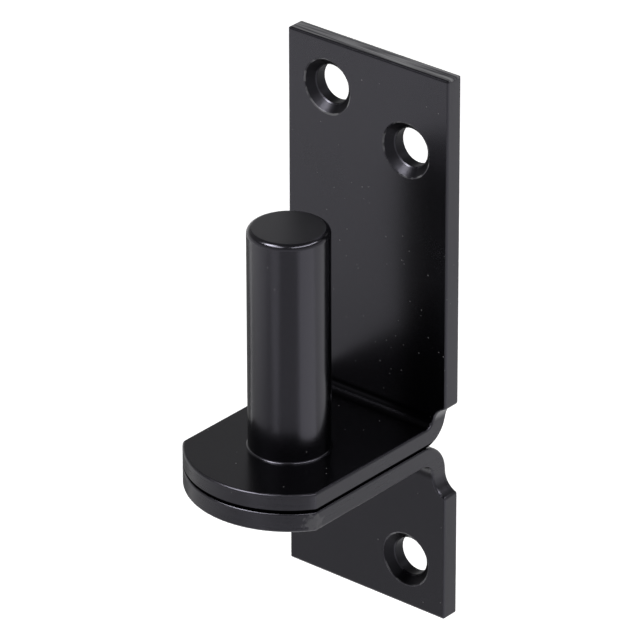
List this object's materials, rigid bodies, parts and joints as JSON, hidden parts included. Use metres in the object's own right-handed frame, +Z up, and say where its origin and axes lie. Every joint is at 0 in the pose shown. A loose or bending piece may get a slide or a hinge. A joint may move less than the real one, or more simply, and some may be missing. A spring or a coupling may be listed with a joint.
{
  "type": "gate hinge pin",
  "caption": "Upright round hinge pin riveted to a folded plate ledge, with countersunk wall plates above and below, for hanging a gate's strap eye.",
  "frame": {"origin": "on the pin's axis, at the top face of the upper ledge, where the gate's hinge eye comes to rest", "axes": "+Z up along the pin, +Y into the wall, +X to the right of someone who faces the wall"},
  "size_m": [0.039, 0.0473, 0.115],
  "materials": {
    "plate_coat": "satin black coating on steel plate",
    "pin_coat": "satin black coating on turned steel bar"
  },
  "bodies": {
    "root": {"upper_bracket": "plate_coat", "lower_bracket": "plate_coat", "hinge_pin": "pin_coat"}
  },
  "joints": []
}
